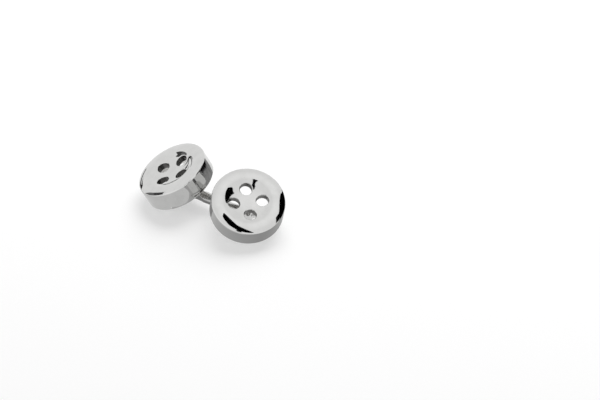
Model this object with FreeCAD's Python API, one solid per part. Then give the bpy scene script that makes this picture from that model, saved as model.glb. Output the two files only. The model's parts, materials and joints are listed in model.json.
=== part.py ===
import FreeCAD, Part
import math
import os

# Double-ended cufflink: two button heads, each hinged to one end of a bar.
# Lengths are millimetres, angles are degrees.
# It lies on a table with both heads folded up over the bar, tipped sideways until
# the button rims and the hinge knuckles all touch the table.

# Button head
head_diameter = 15.0
wall_height = 3.95           # straight side wall, up from the open back
wall_thickness = 1.2
web_thickness = 1.4          # metal under the dished face
dish_radius = 16.0           # shallow hollow in the middle of the face
roll_radius = 3.0            # S-shaped roll from the hollow up to the rim
roll_slope = 25.5            # steepest part of the roll
crown_radius = 5.0           # rounding from the rim down to the side wall
crest_diameter = 11.2        # circle along the top of the raised rim
face_edge_round = 0.35
back_edge_round = 0.3
inner_edge_round = 0.2

# Thread holes
hole_diameter = 2.5
hole_circle_diameter = 5.8
hole_count = 4
hole_edge_round = 0.15
front_hole_turn = 42.0       # from the direction of the bar
rear_hole_turn = 82.0

# Clevis: a stem, a bridge and two cheeks behind each button
hinge_standoff = 1.3         # pin behind the open back of the button
knuckle_radius = 1.95
clevis_width = 2.9           # along the pin
knuckle_round = 0.5
bridge_thickness = 0.6       # between the floor of the slot and the stem
stem_diameter = 2.8
seat_land = 0.1              # flat seat under the web, beyond the stem

# Hinge pin, riveted over both cheeks
pin_diameter = 1.1
rivet_head_diameter = 1.7
rivet_head_height = 0.16

# Bar, turned with a ball at each end, then flattened into a tongue with an eye
pin_spacing = 15.4
bar_waist_diameter = 2.2
eye_radius = 1.7             # ball round each pin
tongue_thickness = 1.2
flat_length = 3.2            # from the pin to where the flats start to run out
flat_runout_radius = 6.0

# Tension leaf on the floor of each slot
leaf_thickness = 0.15
leaf_bow = 0.2
leaf_length = 2.6
leaf_foot = 0.35

# Fits
pin_clearance = 0.04         # radial, eye on pin
cheek_clearance = 0.06       # each side of the tongue
leaf_clearance = 0.06        # leaf to eye, and leaf to each cheek
cut_overrun = 1.0

# Pose on the table
fold_angle = 70.0            # from worn, where the head is square across the bar
steepest_tip = 60.0
tip_halvings = 50

head_radius = head_diameter / 2
crest_radius = crest_diameter / 2
stem_radius = stem_diameter / 2
slot_width = tongue_thickness + 2 * cheek_clearance
lean = 90.0 - fold_angle

# Heights in a head, up from its hinge pin
back_z = hinge_standoff
wall_top_z = back_z + wall_height
crown_run = head_radius - face_edge_round - crest_radius
crown_centre_z = wall_top_z - math.sqrt((crown_radius - face_edge_round) ** 2 - crown_run ** 2)
crest_z = crown_centre_z + crown_radius
steepest = math.radians(roll_slope)
hollow_roll_radius = crest_radius - 2 * roll_radius * math.sin(steepest)
hollow_roll_z = crest_z - roll_radius + 2 * roll_radius * math.cos(steepest)
dish_slope = math.asin(hollow_roll_radius / (dish_radius - roll_radius))
dish_centre_z = hollow_roll_z + (dish_radius - roll_radius) * math.cos(dish_slope)
dish_floor_z = dish_centre_z - dish_radius
seat_z = dish_floor_z - web_thickness
slot_floor_z = eye_radius + leaf_clearance + leaf_bow + leaf_thickness
shoulder_z = slot_floor_z + bridge_thickness

V = FreeCAD.Vector
ORIGIN = V(0, 0, 0)
X = V(1, 0, 0)
Y = V(0, 1, 0)
Z = V(0, 0, 1)


def at(x, z):
    """A point of an outline in the X-Z plane."""
    return V(x, 0, z)


def around(centre, radius, angle):
    """The point at an angle from +X towards +Z, in radians, on a circle in the X-Z plane."""
    return centre + at(radius * math.cos(angle), radius * math.sin(angle))


def arc(centre, radius, first, last):
    """An outline's arc, given by a point on the way and its end point."""
    return around(centre, radius, (first + last) / 2), around(centre, radius, last)


def outline(start, *steps):
    """A face whose edge runs through the steps, lines or arcs, and straight back to its start."""
    edges = []
    here = start
    for step in steps + (start,):
        if isinstance(step, tuple):
            through, end = step
            edges.append(Part.Arc(here, through, end).toShape())
        else:
            end = step
            edges.append(Part.LineSegment(here, end).toShape())
        here = end
    return Part.Face(Part.Wire(edges))


def across(face, width):
    """An outline thickened along the hinge pin, half to each side."""
    return face.translated(Y * (-width / 2)).extrude(Y * width)


def bore_across(radius, width):
    return Part.makeCylinder(radius, width, Y * (-width / 2), Y)


def button_shell():
    """The turned button: side wall, raised rim, roll, dish, and the hollow behind them."""
    inner_radius = head_radius - wall_thickness
    seat_radius = stem_radius + seat_land
    under_dish_radius = dish_radius + web_thickness
    crown = at(crest_radius, crown_centre_z)
    rim_roll = at(crest_radius, crest_z - roll_radius)
    hollow_roll = at(hollow_roll_radius, hollow_roll_z)
    dish = at(0, dish_centre_z)
    back_edge = at(head_radius - back_edge_round, back_z + back_edge_round)
    inner_edge = at(inner_radius + inner_edge_round, back_z + inner_edge_round)
    face_edge = at(head_radius - face_edge_round, wall_top_z)

    up = math.pi / 2
    down = -math.pi / 2
    crown_start = math.atan2(wall_top_z - crown_centre_z, crown_run)
    seat_edge = -math.acos(seat_radius / under_dish_radius)
    inner_wall = -math.acos(inner_radius / under_dish_radius)

    profile = outline(
        at(inner_radius, back_z + inner_edge_round),
        arc(inner_edge, inner_edge_round, math.pi, 1.5 * math.pi),
        at(head_radius - back_edge_round, back_z),
        arc(back_edge, back_edge_round, down, 0),
        at(head_radius, wall_top_z),
        arc(face_edge, face_edge_round, 0, crown_start),
        arc(crown, crown_radius, crown_start, up),
        arc(rim_roll, roll_radius, up, up + steepest),
        arc(hollow_roll, roll_radius, down + steepest, down + dish_slope),
        arc(dish, dish_radius, down + dish_slope, down),
        at(0, seat_z),
        at(seat_radius, seat_z),
        around(dish, under_dish_radius, seat_edge),
        arc(dish, under_dish_radius, seat_edge, inner_wall),
    )
    return profile.revolve(ORIGIN, Z, 360)


def button(hole_turn):
    """The button shell with its ring of thread holes, their front edges polished round."""
    shell = button_shell()
    hole_radius = hole_diameter / 2
    bottom = seat_z - cut_overrun
    depth = wall_top_z + crown_radius - bottom
    reach = hole_circle_diameter / 2
    half_pitch = 180 / hole_count
    for index in range(hole_count):
        turn = math.radians(half_pitch * (2 * index + 1))
        centre = V(reach * math.cos(turn), reach * math.sin(turn), bottom)
        shell = shell.cut(Part.makeCylinder(hole_radius, depth, centre, Z))
    rounded = shell.makeFillet(hole_edge_round, front_hole_edges(shell))
    return rounded.rotated(ORIGIN, Z, hole_turn - half_pitch)


def front_hole_edges(shell):
    """Edges above the floor of the dish that lie off its axis: the mouths of the holes."""
    mouths = []
    for edge in shell.Edges:
        box = edge.BoundBox
        off_axis = math.hypot(box.Center.x, box.Center.y) > hole_diameter / 2
        if off_axis and box.ZMin > dish_floor_z and box.DiagonalLength < 2 * hole_diameter:
            mouths.append(edge)
    return mouths


def clevis():
    """The hinge fork: rounded cheeks that taper to a round stem, slotted for the tongue."""
    corner = math.atan2(shoulder_z, stem_radius)
    tangent = corner - math.acos(knuckle_radius / math.hypot(shoulder_z, stem_radius))
    side = around(ORIGIN, knuckle_radius, tangent)
    cheeks = across(outline(
        at(stem_radius, shoulder_z),
        side,
        (at(0, -knuckle_radius), at(-side.x, side.z)),
        at(-stem_radius, shoulder_z),
    ), clevis_width)
    rims = []
    for edge in cheeks.Edges:
        flat_to_cheek = edge.BoundBox.YLength < knuckle_round
        if flat_to_cheek and edge.BoundBox.ZMin < slot_floor_z:
            rims.append(edge)
    cheeks = cheeks.makeFillet(knuckle_round, rims)
    stem = Part.makeCylinder(stem_radius, seat_z - slot_floor_z, V(0, 0, slot_floor_z), Z)
    slot_half_length = knuckle_radius + cut_overrun
    slot = Part.makeBox(
        2 * slot_half_length,
        slot_width,
        slot_half_length + slot_floor_z,
        V(-slot_half_length, -slot_width / 2, -slot_half_length),
    )
    fork = cheeks.fuse(stem).removeSplitter().cut(slot)
    return fork.cut(bore_across(pin_diameter / 2, clevis_width + 2 * cut_overrun))


def hinge_pin():
    """A plain pin with a low domed rivet head on each cheek."""
    pin_radius = pin_diameter / 2
    rivet_radius = rivet_head_diameter / 2
    half_width = clevis_width / 2
    dome_radius = (rivet_radius ** 2 + rivet_head_height ** 2) / (2 * rivet_head_height)
    top_centre = at(0, half_width + rivet_head_height - dome_radius)
    foot_centre = at(0, -top_centre.z)
    edge_angle = math.acos(rivet_radius / dome_radius)
    top = math.pi / 2
    profile = outline(
        at(0, -half_width - rivet_head_height),
        arc(foot_centre, dome_radius, -top, -edge_angle),
        at(pin_radius, -half_width),
        at(pin_radius, half_width),
        at(rivet_radius, half_width),
        arc(top_centre, dome_radius, edge_angle, top),
    )
    return profile.revolve(ORIGIN, Z, 360).rotated(ORIGIN, X, 90)


def tension_leaf():
    """A thin strip on two flat feet, bowed towards the eye."""
    half_length = leaf_length / 2
    bow_end = half_length - leaf_foot
    low_z = slot_floor_z - leaf_thickness
    profile = outline(
        at(-half_length, slot_floor_z),
        at(-bow_end, slot_floor_z),
        (at(0, slot_floor_z - leaf_bow), at(bow_end, slot_floor_z)),
        at(half_length, slot_floor_z),
        at(half_length, low_z),
        at(bow_end, low_z),
        (at(0, low_z - leaf_bow), at(-bow_end, low_z)),
        at(-half_length, low_z),
    )
    return across(profile, slot_width - 2 * leaf_clearance)


def turned_bar():
    """The bar before it is flattened: a waist that flares smoothly into the two balls."""
    half_spacing = pin_spacing / 2
    waist_radius = bar_waist_diameter / 2
    square_sum = half_spacing ** 2 + waist_radius ** 2 - eye_radius ** 2
    flare_radius = square_sum / (2 * (eye_radius - waist_radius))
    lean_in = math.atan2(half_spacing, waist_radius + flare_radius)
    up = math.pi / 2
    rear_ball = at(-half_spacing, 0)
    front_ball = at(half_spacing, 0)
    flare = at(0, waist_radius + flare_radius)
    profile = outline(
        at(-half_spacing - eye_radius, 0),
        arc(rear_ball, eye_radius, math.pi, up - lean_in),
        arc(flare, flare_radius, -up - lean_in, -up + lean_in),
        arc(front_ball, eye_radius, up + lean_in, 0),
    )
    return profile.revolve(ORIGIN, X, 360)


def flat_cut():
    """What is taken off one side of the front ball, running out in an arc towards the waist."""
    flat_start = pin_spacing / 2 - flat_length
    flat_y = tongue_thickness / 2
    end = pin_spacing / 2 + eye_radius + cut_overrun
    runout = at(flat_start, flat_y + flat_runout_radius)
    side = outline(
        at(flat_start, flat_y),
        at(end, flat_y),
        at(end, runout.z),
        at(flat_start - flat_runout_radius, runout.z),
        arc(runout, flat_runout_radius, math.pi, 1.5 * math.pi),
    )
    return across(side, 2 * (eye_radius + cut_overrun)).rotated(ORIGIN, X, 90)


def link_bar():
    bar = turned_bar()
    eye = bore_across(pin_diameter / 2 + pin_clearance, tongue_thickness + 2 * cut_overrun)
    for end_turn in (0, 180):
        for side_turn in (0, 180):
            cut = flat_cut().rotated(ORIGIN, X, side_turn).rotated(ORIGIN, Z, end_turn)
            bar = bar.cut(cut)
        bar = bar.cut(eye.translated(X * (pin_spacing / 2)).rotated(ORIGIN, Z, end_turn))
    return bar


def placed(shape, placement):
    moved = shape.copy()
    moved.Placement = placement.multiply(moved.Placement)
    return moved


def knuckle_drop(tip):
    """How far a knuckle reaches below its pin when the bar is tipped sideways."""
    turn = math.radians(tip)
    flat = (knuckle_radius - knuckle_round) * math.cos(turn)
    side = (clevis_width / 2 - knuckle_round) * math.sin(turn)
    return flat + side + knuckle_round


def rim_drop(tip):
    """How far the back rim of a folded button reaches below its pin."""
    upright = math.cos(math.radians(lean)) * math.cos(math.radians(tip))
    sideways = math.sqrt(1 - upright ** 2)
    edge_radius = head_radius - back_edge_round
    return edge_radius * sideways + back_edge_round - (back_z + back_edge_round) * upright


def resting_tip():
    """The tip at which rims and knuckles touch the table together, found by halving."""
    low = 0
    high = steepest_tip
    for _ in range(tip_halvings):
        middle = (low + high) / 2
        if rim_drop(middle) < knuckle_drop(middle):
            low = middle
        else:
            high = middle
    return low


def rest_placement():
    """The tipped bar's place, with its pins at the height that puts the lowest metal on the table."""
    tip = resting_tip()
    height = max(rim_drop(tip), knuckle_drop(tip))
    return FreeCAD.Placement(Z * height, FreeCAD.Rotation(X, tip))


def head_placement(turn):
    """A head's place on the bar: folded about its pin, at the end that the turn points to."""
    folded = FreeCAD.Placement(X * (pin_spacing / 2), FreeCAD.Rotation(Y, lean))
    return FreeCAD.Placement(ORIGIN, FreeCAD.Rotation(Z, turn)).multiply(folded)


def cufflink():
    """Every piece by name, resting on the table with the origin under the middle."""
    rest = rest_placement()
    pieces = {"link_bar": placed(link_bar(), rest)}
    for end, turn, hole_turn in (("front", 0, front_hole_turn), ("rear", 180, rear_hole_turn)):
        place = rest.multiply(head_placement(turn))
        pieces[end + "_button"] = placed(button(hole_turn), place)
        pieces[end + "_clevis"] = placed(clevis(), place)
        pieces[end + "_hinge_pin"] = placed(hinge_pin(), place)
        pieces[end + "_tension_leaf"] = placed(tension_leaf(), place)
    box = Part.makeCompound(list(pieces.values())).optimalBoundingBox(False, False)
    centred = FreeCAD.Placement(V(-box.Center.x, -box.Center.y, -box.ZMin), FreeCAD.Rotation())
    return {name: placed(piece, centred) for name, piece in pieces.items()}


os.makedirs("parts", exist_ok=True)
for name, piece in cufflink().items():
    piece.exportStep("parts/" + name + ".step")
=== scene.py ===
import json
import math
import bmesh
import bpy
from mathutils import Matrix, Vector
from mathutils.geometry import delaunay_2d_cdt


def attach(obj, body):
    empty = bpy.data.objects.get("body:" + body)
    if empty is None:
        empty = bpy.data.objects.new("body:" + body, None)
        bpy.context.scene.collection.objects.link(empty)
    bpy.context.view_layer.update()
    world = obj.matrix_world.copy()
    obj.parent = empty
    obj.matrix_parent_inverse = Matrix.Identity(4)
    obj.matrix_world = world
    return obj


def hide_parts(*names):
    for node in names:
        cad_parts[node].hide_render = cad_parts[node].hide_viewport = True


# A double-ended cufflink in mirror-polished steel, on a white table in a light tent.
# Sizes are millimetres. Angles that are set are degrees, and angles that are worked out are radians.

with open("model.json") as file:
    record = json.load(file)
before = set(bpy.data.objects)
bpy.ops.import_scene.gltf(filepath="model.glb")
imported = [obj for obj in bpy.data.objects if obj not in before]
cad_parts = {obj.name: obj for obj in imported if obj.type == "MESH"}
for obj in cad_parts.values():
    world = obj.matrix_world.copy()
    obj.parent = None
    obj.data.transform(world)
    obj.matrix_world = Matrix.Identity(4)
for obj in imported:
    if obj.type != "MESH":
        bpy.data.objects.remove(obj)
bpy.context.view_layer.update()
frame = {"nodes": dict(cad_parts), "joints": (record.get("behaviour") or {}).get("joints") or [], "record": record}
MM = 0.001

# Button head, with heights up from its hinge pin
head_radius = 7.5
back_height = 1.3
wall_top = 5.25
wall_thickness = 1.2
web_thickness = 1.4
dish_radius = 16.0
roll_radius = 3.0
roll_slope = 25.5
crown_radius = 5.0
crest_radius = 5.6
face_edge_round = 0.35
back_edge_round = 0.3
inner_edge_round = 0.2
inner_fillet = 0.4

# Thread holes
hole_radius = 1.25
hole_circle_radius = 2.9
hole_count = 4
hole_mouth_round = 0.15
hole_back_round = 0.06
hole_turns = {"front": 42.0, "rear": 82.0}

# Hinge fork, pin and the solder round the fork's stem
knuckle_radius = 1.95
knuckle_round = 0.5
clevis_half_width = 1.45
slot_half_width = 0.66
slot_floor = 2.11
shoulder_height = 2.71
stem_radius = 1.4
pin_radius = 0.55
rivet_radius = 0.85
rivet_height = 0.16
rivet_edge_round = 0.04
solder_round = 0.2

# Bar
bar_waist_radius = 1.1
eye_radius = 1.7
eye_bore_radius = 0.59
tongue_half_thickness = 0.6
flat_length = 3.2
flat_runout_radius = 6.0
bar_edge_round = 0.08

# How finely the curves are drawn
steps_round_head = 192
steps_round_hole = 72
steps_round_small = 64
steps_in_round = 6
steps_in_long_arc = 16
web_grain = 0.2
same_spot = 1e-6
weld_reach = 1e-4

# Heights and radii that follow from the sizes above
crown_run = head_radius - face_edge_round - crest_radius
crown_centre = wall_top - math.sqrt((crown_radius - face_edge_round) ** 2 - crown_run ** 2)
crest_height = crown_centre + crown_radius
steepest = math.radians(roll_slope)
hollow_roll_reach = crest_radius - 2 * roll_radius * math.sin(steepest)
hollow_roll_height = crest_height - roll_radius + 2 * roll_radius * math.cos(steepest)
dish_slope = math.asin(hollow_roll_reach / (dish_radius - roll_radius))
dish_centre = hollow_roll_height + (dish_radius - roll_radius) * math.cos(dish_slope)
under_dish = dish_radius + web_thickness
web_edge = hole_circle_radius + hole_radius + hole_mouth_round + web_grain
seat_height = dish_centre - dish_radius - web_thickness

# Camera, fitted to the photograph
photo_width_px = 600
camera_azimuth = 35.01
camera_elevation = 35.78
camera_distance = 910.0
camera_target = Vector((21.07, 1.03, 11.15))
camera_px_per_mm = 5.019
camera_clip_start = 1
sensor_width = 36.0

# Studio, with cards placed so that the metal mirrors them where the photograph has dark and pale patches
table_size = 3000
cufflink_middle = (0, 0, 6)
front_face = (9.4, -0.5, 6.6)
flag_distance = 400


class Skin:
    """Points with their exact normals, and the faces between them, each with a finish number."""

    def __init__(self):
        self.points = []
        self.normals = []
        self.faces = []
        self.finishes = []

    def add(self, point, normal):
        """A point with its normal. Returns the point's number."""
        self.points.append(Vector(point) * MM)
        self.normals.append(Vector(normal).normalized())
        return len(self.points) - 1

    def face(self, corners, finish):
        """A face between numbered points."""
        self.faces.append(corners)
        self.finishes.append(finish)

    def bridge(self, near, far, finish=0):
        """Quads between two closed rings that have as many points."""
        count = len(near)
        for i in range(count):
            j = (i + 1) % count
            self.face((near[i], near[j], far[j], far[i]), finish)

    def piece(self, name, place):
        """The skin as an object, outside faces out, at its place on the cufflink."""
        mesh = bpy.data.meshes.new(name)
        mesh.from_pydata([place @ point for point in self.points], [], self.faces)
        mesh.polygons.foreach_set("material_index", self.finishes)
        mesh.shade_smooth()
        turn = place.to_3x3()
        mesh.normals_split_custom_set_from_vertices([turn @ normal for normal in self.normals])
        obj = bpy.data.objects.new(name, mesh)
        bpy.context.scene.collection.objects.link(obj)
        return obj


def arc(centre, radius, first, last, steps, hollow=False):
    """(point, normal) pairs along a profile's arc, with angles in radians from outwards to upwards."""
    sign = -1 if hollow else 1
    points = []
    for i in range(steps + 1):
        angle = first + (last - first) * i / steps
        out = Vector((math.cos(angle), math.sin(angle)))
        points.append((Vector(centre) + out * radius, out * sign))
    return points


def ring(skin, radius, height, normal, count):
    """A circle of skin points round the local z axis."""
    indices = []
    for i in range(count):
        turn = 2 * math.pi * i / count
        c, s = math.cos(turn), math.sin(turn)
        indices.append(skin.add((radius * c, radius * s, height), (normal[0] * c, normal[0] * s, normal[1])))
    return indices


def face_at(radius):
    """Height and normal of the button's face: dish in the middle, S-shaped roll, then the crown."""
    if radius < dish_radius * math.sin(dish_slope):
        height = dish_centre - math.sqrt(dish_radius ** 2 - radius ** 2)
        return height, Vector((-radius, dish_centre - height))
    if radius < crest_radius - roll_radius * math.sin(steepest):
        out = radius - hollow_roll_reach
        height = hollow_roll_height - math.sqrt(roll_radius ** 2 - out ** 2)
        return height, Vector((-out, hollow_roll_height - height))
    bend = roll_radius if radius < crest_radius else crown_radius
    out, up = radius - crest_radius, math.sqrt(bend ** 2 - (radius - crest_radius) ** 2)
    return crest_height - bend + up, Vector((out, up))


def underside_at(radius):
    """Height and normal of the web's underside, one web thickness behind the dish."""
    down = math.sqrt(under_dish ** 2 - radius ** 2)
    return dish_centre - down, Vector((radius, -down))


def rim_profile():
    """The turned profile from the web's edge on the face, round the wall, to its edge underneath."""
    up, down = math.pi / 2, -math.pi / 2
    inner_radius = head_radius - wall_thickness
    crown_start = math.atan2(wall_top - crown_centre, crown_run)
    face_web = math.acos((web_edge - crest_radius) / roll_radius)
    outside = arc((crest_radius, crest_height - roll_radius), roll_radius, face_web, up, steps_in_long_arc)
    outside += arc((crest_radius, crown_centre), crown_radius, up, crown_start, steps_in_long_arc)[1:]
    outside += arc((head_radius - face_edge_round, wall_top), face_edge_round, crown_start, 0,
                   steps_in_round)[1:]
    outside += arc((head_radius - back_edge_round, back_height + back_edge_round), back_edge_round, 0, down,
                   steps_in_round)
    outside += arc((inner_radius + inner_edge_round, back_height + inner_edge_round), inner_edge_round, down,
                   2 * down, steps_in_round)
    fillet_reach = inner_radius - inner_fillet
    fillet_drop = math.sqrt((under_dish + inner_fillet) ** 2 - fillet_reach ** 2)
    fillet_end = math.atan2(fillet_drop, -fillet_reach)
    inside = arc((fillet_reach, dish_centre - fillet_drop), inner_fillet, 0, fillet_end, steps_in_round,
                 hollow=True)
    under_web = -math.acos(web_edge / under_dish)
    inside += arc((0, dish_centre), under_dish, fillet_end - math.pi, under_web, steps_in_long_arc)[1:]
    return outside, inside


def web_layout(hole_centres, mouth_radius):
    """Points spread over the web, the loops round its holes, and the triangles between them."""
    points = []
    for i in range(steps_round_head):
        turn = 2 * math.pi * i / steps_round_head
        points.append(Vector((math.cos(turn), math.sin(turn))) * web_edge)
    loops = [list(range(steps_round_head))]
    for centre in hole_centres:
        start = len(points)
        for i in range(steps_round_hole):
            turn = 2 * math.pi * i / steps_round_hole
            points.append(centre + Vector((math.cos(turn), math.sin(turn))) * mouth_radius)
        loops.append(list(range(start, len(points))))
    keep_off = web_grain / 2
    for step in range(int(web_edge / web_grain)):
        radius = step * web_grain
        count = max(1, round(2 * math.pi * radius / web_grain))
        for i in range(count):
            turn = 2 * math.pi * (i + step % 2 / 2) / count
            point = Vector((math.cos(turn), math.sin(turn))) * radius
            clear = all((point - centre).length > mouth_radius + keep_off for centre in hole_centres)
            if clear and radius < web_edge - keep_off:
                points.append(point)
    edges = [(loop[i - 1], loop[i]) for loop in loops for i in range(len(loop))]
    fill_to_hull = 0
    made, _, triangles, origins, _, _ = delaunay_2d_cdt(points, edges, [], fill_to_hull, same_spot)
    source = [origin[0] for origin in origins]
    kept = []
    for triangle in triangles:
        middle = sum((made[i] for i in triangle), Vector((0, 0))) / len(triangle)
        if all((middle - centre).length > mouth_radius for centre in hole_centres):
            kept.append([source[i] for i in triangle])
    return points, loops, kept


def holed_web(skin, surface_at, hole_centres, mouth_radius, upwards, finish):
    """One side of the holed web on the skin. Returns its outer ring and the loops round its holes."""
    points, loops, triangles = web_layout(hole_centres, mouth_radius)
    indices = []
    for point in points:
        radius = point.length
        height, normal = surface_at(radius)
        out = point / radius if radius else Vector((0, 0))
        indices.append(skin.add((point.x, point.y, height), (out.x * normal.x, out.y * normal.x, normal.y)))
    for a, b, c in triangles:
        corners = (a, b, c) if upwards else (c, b, a)
        skin.face([indices[i] for i in corners], finish)
    return [[indices[i] for i in loop] for loop in loops]


def hole_rings(skin, surface_at, centre, mouth_round, sink):
    """Rings that round a hole's mouth over, from beside the mouth to its wall."""
    rings = []
    for step in range(1, steps_in_round + 1):
        bend = math.pi / 2 * step / steps_in_round
        reach = hole_radius + mouth_round * (1 - math.sin(bend))
        indices = []
        for i in range(steps_round_hole):
            turn = 2 * math.pi * i / steps_round_hole
            out = Vector((math.cos(turn), math.sin(turn)))
            point = centre + out * reach
            height, normal = surface_at(point.length)
            lean = point / point.length * normal.x
            flat = Vector((lean.x, lean.y, normal.y)).normalized()
            wall = Vector((-out.x, -out.y, 0))
            height += sink * mouth_round * (1 - math.cos(bend))
            bent = flat * math.cos(bend) + wall * math.sin(bend)
            indices.append(skin.add((point.x, point.y, height), bent))
        rings.append(indices)
    return rings


def button(end, place):
    """The polished button, its face drilled for thread, with a duller hollow behind."""
    turn = math.radians(hole_turns[end])
    centres = []
    for i in range(hole_count):
        angle = turn + 2 * math.pi * i / hole_count
        centres.append(Vector((math.cos(angle), math.sin(angle))) * hole_circle_radius)
    skin = Skin()
    polished, satin, drilled = 0, 1, 2
    face_loops = holed_web(skin, face_at, centres, hole_radius + hole_mouth_round, True, polished)
    under_loops = holed_web(skin, underside_at, centres, hole_radius + hole_back_round, False, satin)
    outside, inside = rim_profile()
    last = face_loops[0]
    for finish, stretch in ((polished, outside[1:]), (satin, inside[:-1])):
        for point, normal in stretch:
            here = ring(skin, point.x, point.y, normal, steps_round_head)
            skin.bridge(here, last, finish)
            last = here
    skin.bridge(under_loops[0], last, satin)
    for i, centre in enumerate(centres):
        mouth = [face_loops[i + 1]] + hole_rings(skin, face_at, centre, hole_mouth_round, -1)
        back = hole_rings(skin, underside_at, centre, hole_back_round, 1)[::-1] + [under_loops[i + 1]]
        for upper, lower in zip(mouth, mouth[1:]):
            skin.bridge(upper, lower, polished)
        for upper, lower in zip(mouth[-1:] + back, back):
            skin.bridge(upper, lower, drilled)
    return skin.piece(end + "_button_polished", place)


def turned(name, profile, place, count):
    """A solid turned about the local z axis, from a closed or axis-to-axis profile."""
    skin = Skin()
    rings = []
    for point, normal in profile:
        if point.x < same_spot:
            rings.append([skin.add((0, 0, point.y), (0, 0, normal.y))])
        else:
            rings.append(ring(skin, point.x, point.y, normal, count))
    for upper, lower in zip(rings, rings[1:]):
        for i in range(count):
            j = (i + 1) % count
            if len(upper) == 1:
                skin.face((upper[0], lower[i], lower[j]), 0)
            elif len(lower) == 1:
                skin.face((upper[i], lower[0], upper[j]), 0)
            else:
                skin.face((upper[i], lower[i], lower[j], upper[j]), 0)
    return skin.piece(name, place)


def cut(obj, cutter, operation):
    """A boolean made at once, after which its tool is gone."""
    change = obj.modifiers.new(operation.lower(), "BOOLEAN")
    change.operation = operation
    change.solver = "EXACT"
    change.object = cutter
    graph = bpy.context.evaluated_depsgraph_get()
    result = bpy.data.meshes.new_from_object(obj.evaluated_get(graph))
    obj.modifiers.clear()
    obj.data = result
    bpy.data.objects.remove(cutter)
    weld(obj)


def tool(form, place):
    """A cutting tool from a built form, at its place."""
    form.transform(place)
    mesh = bpy.data.meshes.new("tool")
    form.to_mesh(mesh)
    form.free()
    obj = bpy.data.objects.new("tool", mesh)
    bpy.context.scene.collection.objects.link(obj)
    return obj


def block(low, high, place):
    """A plain box that only serves as a cutting tool."""
    form = bmesh.new()
    bmesh.ops.create_cube(form, size=1)
    size = Vector(high) - Vector(low)
    middle = (Vector(high) + Vector(low)) / 2
    for vert in form.verts:
        vert.co = (Vector(a * b for a, b in zip(vert.co, size)) + middle) * MM
    return tool(form, place)


def bore(radius, half_length, place):
    """A plain drill along the local y axis that only serves as a cutting tool."""
    form = bmesh.new()
    bmesh.ops.create_cone(form, cap_ends=True, segments=steps_round_small, radius1=radius * MM,
                          radius2=radius * MM, depth=2 * half_length * MM,
                          matrix=Matrix.Rotation(math.pi / 2, 4, "X"))
    return tool(form, place)


def knuckle_outline():
    """(core point, outward direction) round the side view of the fork, which the rounding stands off."""
    core_radius = knuckle_radius - knuckle_round
    corner = Vector((stem_radius - knuckle_round, shoulder_height - knuckle_round))
    tangent = math.atan2(corner.y, corner.x) - math.acos(core_radius / corner.length)
    outline = []
    for i in range(steps_round_small + 1):
        angle = math.pi - tangent + (math.pi + 2 * tangent) * i / steps_round_small
        out = Vector((math.cos(angle), math.sin(angle)))
        outline.append((out * core_radius, out))
    for side, first, last in ((1, tangent, math.pi / 2), (-1, math.pi / 2, math.pi - tangent)):
        for i in range(steps_in_long_arc + 1):
            angle = first + (last - first) * i / steps_in_long_arc
            out = Vector((math.cos(angle), math.sin(angle)))
            outline.append((Vector((side * corner.x, corner.y)), out))
    return outline


def clevis(end, place):
    """The fork: a softly rounded knuckle on a round stem, slotted for the tongue and bored for the pin."""
    skin = Skin()
    outline = knuckle_outline()
    flat = clevis_half_width - knuckle_round
    rings = []
    for side in (-1, 1):
        for i in range(steps_in_round + 1):
            bend = math.pi / 2 * (steps_in_round - i if side < 0 else i) / steps_in_round
            out_share, side_share = math.cos(bend), side * math.sin(bend)
            indices = []
            for core, out in outline:
                spot = core + out * (knuckle_round * out_share)
                y = side * flat + knuckle_round * side_share
                normal = (out.x * out_share, side_share, out.y * out_share)
                indices.append(skin.add((spot.x, y, spot.y), normal))
            rings.append(indices)
    for near, far in zip(rings, rings[1:]):
        skin.bridge(far, near)
    skin.face(rings[0], 0)
    skin.face(rings[-1][::-1], 0)
    fork = skin.piece(end + "_clevis_polished", place)
    reach = 2 * knuckle_radius
    stem_foot = (slot_floor + shoulder_height) / 2
    outward = Vector((1, 0))
    stem_profile = [
        (Vector((0, seat_height)), Vector((0, 1))),
        (Vector((stem_radius, seat_height)), outward),
        (Vector((stem_radius, stem_foot)), outward),
        (Vector((0, stem_foot)), Vector((0, -1))),
    ]
    cut(fork, turned("tool", stem_profile, place, steps_round_small), "UNION")
    slot = block((-reach, -slot_half_width, -reach), (reach, slot_half_width, slot_floor), place)
    cut(fork, slot, "DIFFERENCE")
    cut(fork, bore(pin_radius, reach, place), "DIFFERENCE")
    return fork


def hinge_pin(end, place):
    """The pin with a low dome riveted over each cheek."""
    dome = (rivet_radius ** 2 + rivet_height ** 2) / (2 * rivet_height)
    dome_centre = clevis_half_width + rivet_height - dome
    edge = math.acos((rivet_radius - rivet_edge_round) / dome)
    half = [(Vector((0, clevis_half_width + rivet_height)), Vector((0, 1)))]
    half += arc((0, dome_centre), dome, math.pi / 2, edge, steps_in_long_arc)[1:]
    half.append((Vector((rivet_radius, clevis_half_width)), Vector((1, 0))))
    half.append((Vector((pin_radius, clevis_half_width)), Vector((1, 0))))
    profile = half + [(Vector((p.x, -p.y)), Vector((n.x, -n.y))) for p, n in half[::-1]]
    along_pin = place @ Matrix.Rotation(-math.pi / 2, 4, "X")
    return turned(end + "_hinge_pin_riveted", profile, along_pin, steps_round_small)


def solder(end, place):
    """The thin fillet that holds the fork's stem in the button."""
    centre_radius = stem_radius + solder_round
    centre_height = dish_centre - math.sqrt((under_dish + solder_round) ** 2 - centre_radius ** 2)
    top = math.atan2(dish_centre - centre_height, -centre_radius)
    hollow = arc((centre_radius, centre_height), solder_round, math.pi, top, steps_in_round, hollow=True)
    tuck = Vector((stem_radius - solder_round / 2, hollow[-1][0].y))
    profile = [(tuck, Vector((-1, 1)))] + hollow[::-1] + [(tuck, Vector((-1, 1)))]
    obj = turned(end + "_solder_fillet", profile, place, steps_round_small)
    weld(obj)
    return obj


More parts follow.
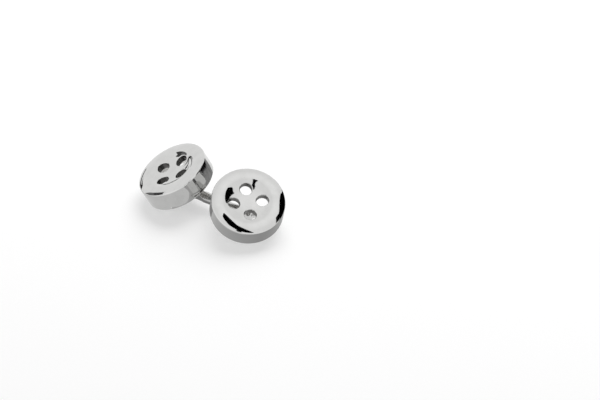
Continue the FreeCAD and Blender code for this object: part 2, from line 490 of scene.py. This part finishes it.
def weld(obj):
    """Joins points that lie on each other, so the skin is closed."""
    form = bmesh.new()
    form.from_mesh(obj.data)
    bmesh.ops.remove_doubles(form, verts=form.verts, dist=weld_reach * MM)
    bmesh.ops.recalc_face_normals(form, faces=form.faces)
    form.to_mesh(obj.data)
    form.free()


def bar_stations(half_spacing, flare_lean):
    """Places along the bar: close together over the balls, even along the flare."""
    ball = []
    for i in range(1, steps_in_long_arc + 1):
        angle = math.pi / 2 - (math.pi / 2 + flare_lean) * i / steps_in_long_arc
        ball.append(half_spacing + eye_radius * math.sin(angle))
    flare_end = ball[-1]
    flare = [flare_end - 2 * flare_end * i / steps_round_small for i in range(1, steps_round_small)]
    return ball + flare + [-x for x in ball[::-1]]


def link_bar(place, half_spacing):
    """The turned bar: a slim waist that flares into two balls, flattened into tongues and bored."""
    square_sum = half_spacing ** 2 + bar_waist_radius ** 2 - eye_radius ** 2
    flare_radius = square_sum / (2 * (eye_radius - bar_waist_radius))
    flare_lean = math.atan2(half_spacing, bar_waist_radius + flare_radius)
    flare_end = half_spacing - eye_radius * math.sin(flare_lean)
    skin = Skin()
    rings = []
    for x in bar_stations(half_spacing, flare_lean):
        if abs(x) < flare_end:
            radius = bar_waist_radius + flare_radius - math.sqrt(flare_radius ** 2 - x ** 2)
        else:
            radius = math.sqrt(eye_radius ** 2 - (abs(x) - half_spacing) ** 2)
        past_flat = min(max(half_spacing - abs(x) - flat_length, 0), flat_runout_radius)
        half_width = tongue_half_thickness + flat_runout_radius
        half_width -= math.sqrt(flat_runout_radius ** 2 - past_flat ** 2)
        indices = []
        for i in range(steps_round_hole):
            turn = 2 * math.pi * i / steps_round_hole
            y, z = radius * math.cos(turn), radius * math.sin(turn)
            near_edge = abs(y) - half_width
            softened = (abs(y) + half_width - math.hypot(near_edge, bar_edge_round)) / 2
            indices.append(skin.add((x, math.copysign(max(softened, 0), y), z), (0, y, z)))
        rings.append(indices)
    for near, far in zip(rings, rings[1:]):
        skin.bridge(near, far)
    for tip, end_ring in ((1, rings[0]), (-1, rings[-1])):
        pole = skin.add((tip * (half_spacing + eye_radius), 0, 0), (tip, 0, 0))
        for i in range(steps_round_hole):
            j = (i + 1) % steps_round_hole
            skin.face((end_ring[j], end_ring[i], pole) if tip > 0 else (end_ring[i], end_ring[j], pole), 0)
    bar = skin.piece("link_bar_polished", place)
    for side in (-1, 1):
        eye_place = place @ Matrix.Translation((side * half_spacing * MM, 0, 0))
        cut(bar, bore(eye_bore_radius, eye_radius, eye_place), "DIFFERENCE")
    return bar


def crisp(obj, angle):
    """Smooth shading that breaks only at edges sharper than an angle."""
    obj.data.shade_smooth()
    obj.data.set_sharp_from_angle(angle=math.radians(angle))
    even = obj.modifiers.new("even_shading", "WEIGHTED_NORMAL")
    even.keep_sharp = True


def linear(hex_colour):
    """An sRGB hex colour as linear RGBA."""
    parts = [int(hex_colour[i:i + 2], 16) / 255 for i in (1, 3, 5)]
    return [c / 12.92 if c <= 0.04045 else ((c + 0.055) / 1.055) ** 2.4 for c in parts] + [1.0]


def add(tree, kind, links=None, values=None, **settings):
    """Adds a node, sets it up, and links or sets its inputs by name or number."""
    made = tree.nodes.new(kind)
    for key, value in settings.items():
        setattr(made, key, value)
    for key, value in (values or {}).items():
        made.inputs[key].default_value = value
    for key, source in (links or {}).items():
        tree.links.new(source, made.inputs[key])
    return made


def new_material(name):
    """An empty material, ready for its nodes."""
    material = bpy.data.materials.new(name)
    material.use_nodes = True
    material.node_tree.nodes.clear()
    return material, material.node_tree


def steel(name, bright, dull, roughness, waviness, hairline_depth):
    """Worked metal from two greys, its best and worst roughness, and two depths in millimetres.

    Its making leaves it very slightly wavy, with faint hairlines, and with patches where handling has
    dulled the polish. Real hairlines are about ten times finer. These are as coarse as they need to show.
    """
    patch_size, wave_length, hairline_width, hairline_length = 2.2, 2.6, 0.05, 1.6
    hairline_turn_radians = (0.4, 0.3, 0.7)
    dull_below, bright_above, glossy_above = 0.3, 0.62, 0.75
    best_roughness, worst_roughness = roughness
    material, tree = new_material(name)
    place = add(tree, "ShaderNodeTexCoord").outputs["Object"]
    patches = add(tree, "ShaderNodeTexNoise", {"Vector": place},
                  {"Scale": 1 / (patch_size * MM), "Detail": 4.0, "Roughness": 0.6}).outputs["Fac"]
    waves = add(tree, "ShaderNodeTexNoise", {"Vector": place},
                {"Scale": 1 / (wave_length * MM), "Detail": 1.0}).outputs["Fac"]
    stretch = add(tree, "ShaderNodeMapping", {"Vector": place},
                  {"Rotation": hairline_turn_radians,
                   "Scale": (hairline_width / hairline_length, 1.0, 1.0)})
    hairlines = add(tree, "ShaderNodeTexNoise", {"Vector": stretch.outputs["Vector"]},
                    {"Scale": 1 / (hairline_width * MM), "Detail": 2.0, "Roughness": 0.7}).outputs["Fac"]
    colour = add(tree, "ShaderNodeValToRGB", {"Fac": patches})
    for stop, position, grey in zip(colour.color_ramp.elements, (dull_below, bright_above), (dull, bright)):
        stop.position, stop.color = position, linear(grey)
    gloss = add(tree, "ShaderNodeMapRange", {"Value": patches},
                {"From Min": dull_below, "From Max": glossy_above,
                 "To Min": worst_roughness, "To Max": best_roughness})
    rolled = add(tree, "ShaderNodeBump", {"Height": waves}, {"Strength": 1.0, "Distance": waviness * MM})
    buffed = add(tree, "ShaderNodeBump", {"Height": hairlines, "Normal": rolled.outputs["Normal"]},
                 {"Strength": 1.0, "Distance": hairline_depth * MM})
    surface = add(tree, "ShaderNodeBsdfPrincipled",
                  {"Base Color": colour.outputs["Color"], "Roughness": gloss.outputs["Result"],
                   "Normal": buffed.outputs["Normal"]},
                  {"Metallic": 1.0})
    add(tree, "ShaderNodeOutputMaterial", {"Surface": surface.outputs["BSDF"]})
    return material


def mirror_steel():
    """Mirror-polished stainless steel, on the buttons: a neutral grey mirror of all that is round it."""
    return steel("mirror_polished_stainless_steel", bright="#CFCFCE", dull="#C9C9C8",
                 roughness=(0.03, 0.07), waviness=0.004, hairline_depth=0.0002)


def hinge_steel():
    """Polished stainless steel, on forks, pins and bar: a mirror greyer and softer than the buttons."""
    return steel("polished_stainless_steel", bright="#CACAC9", dull="#C0C0BF",
                 roughness=(0.05, 0.12), waviness=0.006, hairline_depth=0.0006)


def lit_hollow_steel():
    """Tumbled stainless steel, in the hollow of a button: painted pale as light in the hollow, satin, with broad
    soft highlights.
    """
    # Greys paler than steel's own: painted light in the hollow.
    return steel("tumbled_stainless_steel_painted_light", bright="#E6E5E3", dull="#D8D7D4",
                 roughness=(0.3, 0.45), waviness=0.008, hairline_depth=0.002)


def shaded_hole_steel():
    """Drilled stainless steel, on the walls of the holes: painted dark as shade in the holes, scored by the drill,
    with a dull sheen.
    """
    # Greys far darker than steel's own: painted shade in the holes.
    return steel("drilled_stainless_steel_painted_shade", bright="#605F5E", dull="#4A4948",
                 roughness=(0.22, 0.36), waviness=0.004, hairline_depth=0.003)


def spring_steel():
    """Rolled spring steel, on the tension leaves: mid grey with fine rolling lines and a soft sheen."""
    return steel("rolled_spring_steel", bright="#AEADAB", dull="#9A9997",
                 roughness=(0.22, 0.36), waviness=0.004, hairline_depth=0.002)


def silver_solder():
    """Silver solder, set round the stem of a fork: pale, slightly warm, rippled and half glossy."""
    return steel("silver_solder", bright="#CFCCC4", dull="#BCB8AE",
                 roughness=(0.16, 0.3), waviness=0.02, hairline_depth=0.001)


def matte_white():
    """Matte white card, the table's top: even and pale, with a faint grain drawn coarser than the real one.

    It glows where it is seen straight, and more in the metal, which keeps the cufflink's shadow pale.
    """
    grain_size = 0.6
    glow_share, mirrored_glow_share = 0.495, 0.92
    material, tree = new_material("matte_white_card")
    place = add(tree, "ShaderNodeTexCoord").outputs["Object"]
    grain = add(tree, "ShaderNodeTexNoise", {"Vector": place},
                {"Scale": 1 / (grain_size * MM), "Detail": 3.0})
    colour = add(tree, "ShaderNodeValToRGB", {"Fac": grain.outputs["Fac"]})
    for stop, white in zip(colour.color_ramp.elements, ("#F1F1F1", "#F6F6F6")):
        stop.color = linear(white)
    card = add(tree, "ShaderNodeBsdfDiffuse", {"Color": colour.outputs["Color"]})
    glow = add(tree, "ShaderNodeEmission", None, {"Color": linear("#FFFFFF"), "Strength": 1.0})
    path = add(tree, "ShaderNodeLightPath")
    share = add(tree, "ShaderNodeMath", {0: path.outputs["Is Camera Ray"]}, {1: glow_share},
                operation="MULTIPLY")
    share = add(tree, "ShaderNodeMath", {0: path.outputs["Is Glossy Ray"], 2: share.outputs["Value"]},
                {1: mirrored_glow_share}, operation="MULTIPLY_ADD")
    mixed = add(tree, "ShaderNodeMixShader",
                {0: share.outputs["Value"], 1: card.outputs["BSDF"], 2: glow.outputs["Emission"]})
    add(tree, "ShaderNodeOutputMaterial", {"Surface": mixed.outputs["Shader"]})
    return material


def plain_card(name, colour, strength=1.0):
    """A card that only the metal sees, of one even brightness."""
    material, tree = new_material(name)
    surface = add(tree, "ShaderNodeEmission", None, {"Color": linear(colour), "Strength": strength})
    add(tree, "ShaderNodeOutputMaterial", {"Surface": surface.outputs["Emission"]})
    return material


def mottled_card(name, dark, light, grain):
    """A card that only the metal sees, clouded from dark to light in patches of about one grain, in mm."""
    dark_below, light_above = 0.35, 0.65
    material, tree = new_material(name)
    place = add(tree, "ShaderNodeTexCoord")
    cloud = add(tree, "ShaderNodeTexNoise", {"Vector": place.outputs["Object"]},
                {"Scale": 1 / (grain * MM), "Detail": 3.0})
    tone = add(tree, "ShaderNodeValToRGB", {"Fac": cloud.outputs["Fac"]})
    for stop, position, grey in zip(tone.color_ramp.elements, (dark_below, light_above), (dark, light)):
        stop.position, stop.color = position, linear(grey)
    surface = add(tree, "ShaderNodeEmission", {"Color": tone.outputs["Color"]}, {"Strength": 1.0})
    add(tree, "ShaderNodeOutputMaterial", {"Surface": surface.outputs["Emission"]})
    return material


def round_card(name, centre, tones):
    """A card that only the metal sees, shaded round a centre on the table.

    Each tone is an azimuth, from -180 up to 180, and the colour there.
    """
    material, tree = new_material(name)
    place = add(tree, "ShaderNodeTexCoord")
    out = add(tree, "ShaderNodeVectorMath", {0: place.outputs["Object"]},
              {1: (centre[0] * MM, centre[1] * MM, 0)}, operation="SUBTRACT")
    turn = add(tree, "ShaderNodeTexGradient", {"Vector": out.outputs["Vector"]}, gradient_type="RADIAL")
    tone = add(tree, "ShaderNodeValToRGB", {"Fac": turn.outputs["Fac"]})
    stops = tone.color_ramp.elements
    while len(stops) < len(tones):
        stops.new(1.0)
    for stop, (azimuth, grey) in zip(stops, tones):
        stop.position, stop.color = azimuth / 360 + 0.5, linear(grey)
    surface = add(tree, "ShaderNodeEmission", {"Color": tone.outputs["Color"]}, {"Strength": 1.0})
    add(tree, "ShaderNodeOutputMaterial", {"Surface": surface.outputs["Emission"]})
    return material


def towards(azimuth, elevation):
    """The direction at an angle from +X towards +Y, and up from the table."""
    a, e = math.radians(azimuth), math.radians(elevation)
    return Vector((math.cos(a) * math.cos(e), math.sin(a) * math.cos(e), math.sin(e)))


def mirrored_sheet(name, rows, material):
    """A sheet through rows of points, seen only in the metal, that neither lights nor shades the table."""
    columns = len(rows[0])
    faces = []
    for row in range(len(rows) - 1):
        for i in range(columns - 1):
            a = row * columns + i
            faces.append((a, a + 1, a + columns + 1, a + columns))
    mesh = bpy.data.meshes.new(name)
    mesh.from_pydata([Vector(point) * MM for row in rows for point in row], [], faces)
    mesh.materials.append(material)
    obj = bpy.data.objects.new(name, mesh)
    obj.visible_camera = False
    obj.visible_diffuse = False
    obj.visible_shadow = False
    bpy.context.scene.collection.objects.link(obj)


def card_corner(middle, distance, azimuth, elevation):
    """A card's corner: that far from a middle, or down on the table where its direction meets that first."""
    card_lift = 0.3
    way = towards(azimuth, elevation)
    reach = distance
    if elevation < 0:
        reach = min(reach, (middle[2] - card_lift) / -way.z)
    return Vector(middle) + way * reach


def bent_card(name, middle, distance, edges, material):
    """A bent card through rows of directions: azimuth and elevation at one side edge, then at the other."""
    steps_across = 12
    rows = []
    for first_azimuth, first_elevation, last_azimuth, last_elevation in edges:
        row = []
        for i in range(steps_across + 1):
            azimuth = first_azimuth + (last_azimuth - first_azimuth) * i / steps_across
            elevation = first_elevation + (last_elevation - first_elevation) * i / steps_across
            row.append(card_corner(middle, distance, azimuth, elevation))
        rows.append(row)
    mirrored_sheet(name, rows, material)


def black_flags():
    """The black flags: two close to the front button, and the others farther off."""
    front_strip_distance, rim_flag_distance = 11, 22
    black = plain_card("black_flag", "#000000", 0.0)
    bent_card("front_strip", front_face, front_strip_distance, [
        (-102, 58, -99, 63), (-101, 44, -87, 66), (-96, 39, -77, 64), (-83, 29, -63, 48),
        (-70, 23, -50, 34), (-62, 19, -43, 23), (-52, 15, -38, 12)], black)
    bent_card("rim_flag", front_face, rim_flag_distance, [
        (19, 8, 76, 8), (19, 20, 70, 20), (19, 37, 58, 37), (23, 43.5, 54, 43.5), (25.5, 46, 51, 46),
        (31.5, 50, 45, 50), (34.5, 51.5, 41, 51.5)], black)
    bent_card("side_flag", cufflink_middle, flag_distance, [
        (10, 30, 60, 30), (9, 37.5, 58, 37.5), (10, 44, 55, 44), (12.5, 48, 50, 48), (13, 50, 44.5, 50),
        (15, 54, 34, 54), (16.5, 57, 27, 57), (17.5, 59, 20, 59)], black)
    side_screen(black)
    bent_card("front_slit", cufflink_middle, flag_distance, [
        (-60, 42, -52, 42), (-57.5, 50, -48.5, 50), (-54.5, 58, -43.5, 58), (-49, 66, -35, 66),
        (-44, 69.5, -33, 69.5)], black)


def side_screen(black):
    """A black screen that stands on the table beside the cufflink, with a foot along part of it."""
    top_edge = [(3, 46, 5), (10, 50, 5), (16, 53.5, 9), (20, 55.5, 12), (26.5, 59, 30), (31, 61.5, 36),
                (44, 65, 40), (60, 60, 40), (72, 52, 40), (82, 40, 40), (86, 30, 36)]
    mirrored_sheet("side_screen", [[(x, y, 0) for x, y, z in top_edge], top_edge], black)
    foot_lift, foot_inside_share, foot_corners = 0.5, 0.92, 8
    rows = []
    for share in (1, foot_inside_share):
        rows.append([(x * share, y * share, foot_lift) for x, y, z in top_edge[:foot_corners]])
    mirrored_sheet("screen_foot", rows, black)


def grey_flags():
    """The grey flags behind and to the left, and the clouded apron that lies to the side."""
    apron_distance, apron_grain = 100, 6
    dark = plain_card("dark_flag", "#181818")
    bent_card("back_flag", cufflink_middle, flag_distance, [
        (172, 0.5, 178.5, 0.5), (172, 4, 178, 4), (169, 8, 174, 8), (162, 11.5, 170, 11.5)], dark)
    shade = plain_card("shade_flag", "#505050")
    bent_card("back_line", cufflink_middle, flag_distance, [(157, 2, 172, 2), (158, 6.5, 171, 6.5)], shade)
    deep_grey = plain_card("deep_grey_flag", "#494949")
    bent_card("left_flag_top", cufflink_middle, flag_distance, [
        (181.5, 25, 205, 25), (183, 30, 203, 30), (186, 34.5, 198, 34.5)], deep_grey)
    grey = plain_card("grey_flag", "#757575")
    bent_card("left_flag", cufflink_middle, flag_distance, [
        (188, 6, 206, 6), (183, 14, 207, 14), (181, 22, 206, 22), (181.5, 25, 205, 25)], grey)
    clouded = mottled_card("grey_apron", "#7C7C7C", "#A2A2A2", apron_grain)
    bent_card("side_apron", cufflink_middle, apron_distance, [
        (15, -10.5, 96, -10.5), (5, -8, 95, -8), (2, -6, 85, -6), (2, -4.5, 72, -4.5), (20, -4, 60, -4)],
        clouded)


def front_card():
    """The white card in front, a little brighter than the tent."""
    card_level = 1.2
    white = plain_card("white_card", "#FFFFFF", card_level)
    bent_card("front_card", cufflink_middle, flag_distance, [
        (-150, 20, -62, 20), (-150, 30, -68, 30), (-150, 40, -90, 40)], white)


def mirrored_shade_patch(name, low, high, lift, material):
    """A patch of painted table shade, seen only in the metal, between two opposite corners."""
    rows = [[(x, y, lift) for x in (low[0], high[0])] for y in (low[1], high[1])]
    mirrored_sheet(name, rows, material)


def mirrored_table_shade():
    """Painted shade of the table under and beside the buttons, which only the metal sees."""
    rear_lift, front_lift, middle_lift = 0.06, 0.04, 0.08
    # Painted shade of the table, which only the metal sees.
    pale = plain_card("pale_mirrored_shade", "#DEDEDE")
    mirrored_shade_patch("rear_mirrored_shade", (-26, -24), (14, -8.4), rear_lift, pale)
    mirrored_shade_patch("rear_side_mirrored_shade", (-26, -8.4), (-5.5, -4), rear_lift, pale)
    ring_steps, ring_centre, ring_inside, ring_outside = 48, (8.1, 0.6), 6.4, 16
    # A ring of painted shade round the front button.
    shaded = round_card("grey_mirrored_shade", ring_centre, [
        (-180, "#C4C4C4"), (-150, "#C8C8C8"), (-27, "#A4A4A4"), (70, "#BABABA"), (180, "#BABABA")])
    rows = []
    for radius in (ring_inside, ring_outside):
        row = []
        for i in range(ring_steps + 1):
            turn = 2 * math.pi * i / ring_steps
            x, y = ring_centre[0] + radius * math.cos(turn), ring_centre[1] + radius * math.sin(turn)
            row.append((x, y, front_lift))
        rows.append(row)
    mirrored_sheet("front_mirrored_shade", rows, shaded)
    # Painted shade between the heads, under the bar.
    dark = plain_card("dark_mirrored_shade", "#8C8C8C")
    mirrored_shade_patch("middle_mirrored_shade", (-7, -3.5), (0.5, 1.2), middle_lift, dark)


def white_table():
    """The table, wide enough to have no edge in the picture."""
    half = table_size * MM / 2
    mesh = bpy.data.meshes.new("table")
    mesh.from_pydata([(-half, -half, 0), (half, -half, 0), (half, half, 0), (-half, half, 0)], [],
                     [(0, 1, 2, 3)])
    mesh.materials.append(matte_white())
    table = bpy.data.objects.new("table", mesh)
    bpy.context.scene.collection.objects.link(table)


def light_tent():
    """A soft white tent: the metal mirrors it, it lights the table weakly, and the eye sees plain paper."""
    tent_level, top_level, fill_level = 1.03, 1.15, 0.42
    top_azimuth, top_elevation, top_spread = 45, 83, 26
    world = bpy.data.worlds.new("light_tent")
    bpy.context.scene.world = world
    world.use_nodes = True
    tree = world.node_tree
    tree.nodes.clear()
    direction = add(tree, "ShaderNodeTexCoord").outputs["Generated"]
    nearness = add(tree, "ShaderNodeVectorMath", {0: direction}, {1: towards(top_azimuth, top_elevation)},
                   operation="DOT_PRODUCT")
    level = add(tree, "ShaderNodeMapRange", {"Value": nearness.outputs["Value"]},
                {"From Min": math.cos(math.radians(top_spread)), "From Max": 1.0,
                 "To Min": tent_level, "To Max": top_level})
    white = linear("#FFFFFF")
    fill = add(tree, "ShaderNodeBackground", None, {"Color": white, "Strength": fill_level})
    tent = add(tree, "ShaderNodeBackground", {"Strength": level.outputs["Result"]}, {"Color": white})
    paper = add(tree, "ShaderNodeBackground", None, {"Color": white, "Strength": 1.0})
    path = add(tree, "ShaderNodeLightPath")
    mirrored = add(tree, "ShaderNodeMixShader", {0: path.outputs["Is Glossy Ray"],
                                                 1: fill.outputs["Background"],
                                                 2: tent.outputs["Background"]})
    mixed = add(tree, "ShaderNodeMixShader", {0: path.outputs["Is Camera Ray"],
                                              1: mirrored.outputs["Shader"],
                                              2: paper.outputs["Background"]})
    add(tree, "ShaderNodeOutputWorld", {"Surface": mixed.outputs["Shader"]})


def soft_lamp():
    """The round softbox behind the cufflink, which gives the table its soft shadow."""
    azimuth, elevation, distance = 108, 45, 600
    size, watts = 640, 4.75
    lamp = bpy.data.lights.new("softbox", "AREA")
    lamp.shape = "DISK"
    lamp.size = size * MM
    lamp.energy = watts
    way = towards(azimuth, elevation)
    softbox = bpy.data.objects.new("softbox", lamp)
    softbox.location = way * distance * MM
    softbox.rotation_mode = "QUATERNION"
    softbox.rotation_quaternion = way.to_track_quat("Z", "Y")
    softbox.visible_glossy = False
    bpy.context.scene.collection.objects.link(softbox)


def camera():
    """The photograph's viewpoint and framing."""
    back = towards(camera_azimuth - 90, camera_elevation)
    data = bpy.data.cameras.new("camera")
    data.sensor_width = sensor_width
    data.lens = camera_px_per_mm * camera_distance / photo_width_px * sensor_width
    data.clip_start = camera_clip_start * MM
    obj = bpy.data.objects.new("camera", data)
    obj.location = (camera_target + back * camera_distance) * MM
    obj.rotation_mode = "QUATERNION"
    obj.rotation_quaternion = (-back).to_track_quat("-Z", "Y")
    bpy.context.scene.collection.objects.link(obj)
    bpy.context.scene.camera = obj


def head_place(joint):
    """A head's own axes at rest: origin on its pin, y along the pin, z out through the button."""
    pin = Vector(joint["axis"]).normalized()
    origin = Vector(joint["pos_m"])
    outward = Vector((math.copysign(1, origin.x), 0, 0))
    lean = math.radians(-joint["range_deg"][0])
    up = Matrix.Rotation(lean, 3, pin) @ outward.cross(pin)
    turn = Matrix((pin.cross(up), pin, up)).transposed().to_4x4()
    return Matrix.Translation(origin) @ turn


def bar_place(front, rear):
    """The bar's own axes: origin midway between the pins, x along the bar, y along the front pin."""
    pin = Vector(front["axis"]).normalized()
    along = Vector((1, 0, 0))
    turn = Matrix((along, pin, along.cross(pin))).transposed().to_4x4()
    return Matrix.Translation((Vector(front["pos_m"]) + Vector(rear["pos_m"])) / 2) @ turn


def dress(obj, body, slot, node, *materials):
    """A piece's materials, the body it rides on, its finish slot, which is not used, and the solid it stands for.
    """
    for material in materials:
        obj.data.materials.append(material)
    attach(obj, body)
    if node:
        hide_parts(node)


slots = {part["node"]: part["material_slot"] for part in frame["record"]["subparts"]}
joints = {joint["name"]: joint for joint in frame["joints"]}
mirror, polished, tumbled, drilled, spring, soldered = (
    mirror_steel(), hinge_steel(), lit_hollow_steel(), shaded_hole_steel(), spring_steel(), silver_solder())
sharp_edge = 40

for end in ("front", "rear"):
    body = end + "_head"
    place = head_place(joints[end + "_hinge"])
    shell = button(end, place)
    dress(shell, body, slots[end + "_button"], end + "_button", mirror, tumbled, drilled)
    fork = clevis(end, place)
    crisp(fork, sharp_edge)
    dress(fork, body, slots[end + "_clevis"], end + "_clevis", polished)
    pin = hinge_pin(end, place)
    crisp(pin, sharp_edge)
    dress(pin, body, slots[end + "_hinge_pin"], end + "_hinge_pin", polished)
    fillet = solder(end, place)
    crisp(fillet, sharp_edge)
    dress(fillet, body, slots[end + "_clevis"], None, soldered)
    leaf = frame["nodes"][end + "_tension_leaf"]
    leaf.material_slots[0].material = spring

front, rear = joints["front_hinge"], joints["rear_hinge"]
half_spacing = (Vector(front["pos_m"]) - Vector(rear["pos_m"])).length / 2 / MM
bar = link_bar(bar_place(front, rear), half_spacing)
crisp(bar, sharp_edge)
dress(bar, "link", slots["link_bar"], "link_bar", polished)

white_table()
black_flags()
grey_flags()
front_card()
mirrored_table_shade()
light_tent()
soft_lamp()
camera()
bpy.context.scene.view_settings.view_transform = "Standard"
